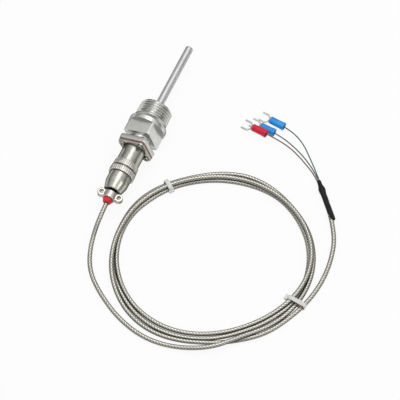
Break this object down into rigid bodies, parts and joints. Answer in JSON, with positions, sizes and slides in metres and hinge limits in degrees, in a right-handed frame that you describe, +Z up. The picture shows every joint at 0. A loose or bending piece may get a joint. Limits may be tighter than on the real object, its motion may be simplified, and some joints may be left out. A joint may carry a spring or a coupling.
{
  "type": "rtd sensor",
  "caption": "Resistance temperature probe in a taper-threaded process fitting, with a screw-coupled connector and a coiled braided cable that ends in fork terminals.",
  "frame": {"origin": "on the probe axis, at the small end face of the process thread", "axes": "+Y along the probe axis towards its tip, +Z up as the part lies on a surface, +X to the right"},
  "size_m": [0.1547, 0.1925, 0.0248],
  "materials": {
    "sheath_steel": "satin stainless tube",
    "fitting_steel": "turned and milled stainless",
    "connector_metal": "nickel plated, satin",
    "screw_steel": "plated",
    "contact_brass": "plated contact",
    "lead_metal": "drawn wire",
    "element_ceramic": "fired ceramic",
    "insert_plastic": "moulded",
    "gasket_rubber": "sheet rubber",
    "bush_rubber": "moulded rubber",
    "cable_braid": "fine woven metal braid",
    "tie_nylon": "natural nylon",
    "shrink_plastic": "shrunk sleeve",
    "wire_grey": "insulated wire",
    "wire_red": "insulated wire",
    "terminal_tin": "tin plated copper",
    "sleeve_blue": "moulded sleeve",
    "sleeve_red": "moulded sleeve"
  },
  "bodies": {
    "plug_and_cable": {"plug_shell": "connector_metal", "plug_insert": "insert_plastic", "contact_socket_1": "contact_brass", "contact_socket_2": "contact_brass", "contact_socket_3": "contact_brass", "plug_wire_1": "wire_grey", "plug_wire_2": "wire_grey", "plug_wire_3": "wire_grey", "backshell": "connector_metal", "clamp_strap": "connector_metal", "clamp_screws": "screw_steel", "cable_bush": "bush_rubber", "cable_lead_in": "cable_braid", "cable_coil": "cable_braid", "cable_tail": "cable_braid", "cable_tie_upper": "tie_nylon", "cable_tie_lower": "tie_nylon", "heat_shrink": "shrink_plastic", "lead_wire_a": "wire_grey", "lead_wire_b": "wire_grey", "lead_wire_red": "wire_red", "fork_terminal_blue_a": "terminal_tin", "fork_terminal_blue_b": "terminal_tin", "fork_terminal_red": "terminal_tin", "terminal_sleeve_blue_a": "sleeve_blue", "terminal_sleeve_blue_b": "sleeve_blue", "terminal_sleeve_red": "sleeve_red"},
    "sensor": {"probe_sheath": "sheath_steel", "sensing_element": "element_ceramic", "element_lead_1": "lead_metal", "element_lead_2": "lead_metal", "element_lead_3": "lead_metal", "process_fitting": "fitting_steel", "flange_gasket": "gasket_rubber", "receptacle_shell": "connector_metal", "flange_screws": "screw_steel", "receptacle_insert": "insert_plastic", "contact_pin_1": "contact_brass", "contact_pin_2": "contact_brass", "contact_pin_3": "contact_brass"},
    "nut": {"coupling_nut": "connector_metal"}
  },
  "joints": [
    {"name": "nut_turn", "type": "hinge", "parent": "plug_and_cable", "child": "nut", "pos_m": [0, -0.0457, 0], "axis": [0, -1, 0], "range_deg": [0, 1891]},
    {"name": "probe_slide", "type": "slide", "parent": "plug_and_cable", "child": "sensor", "axis": [0, 1, 0], "range_m": [0, 0.00525]}
  ],
  "couplings": [
    {"joint": "nut_turn", "follows": "probe_slide", "rad_per_m": 6283.2}
  ]
}
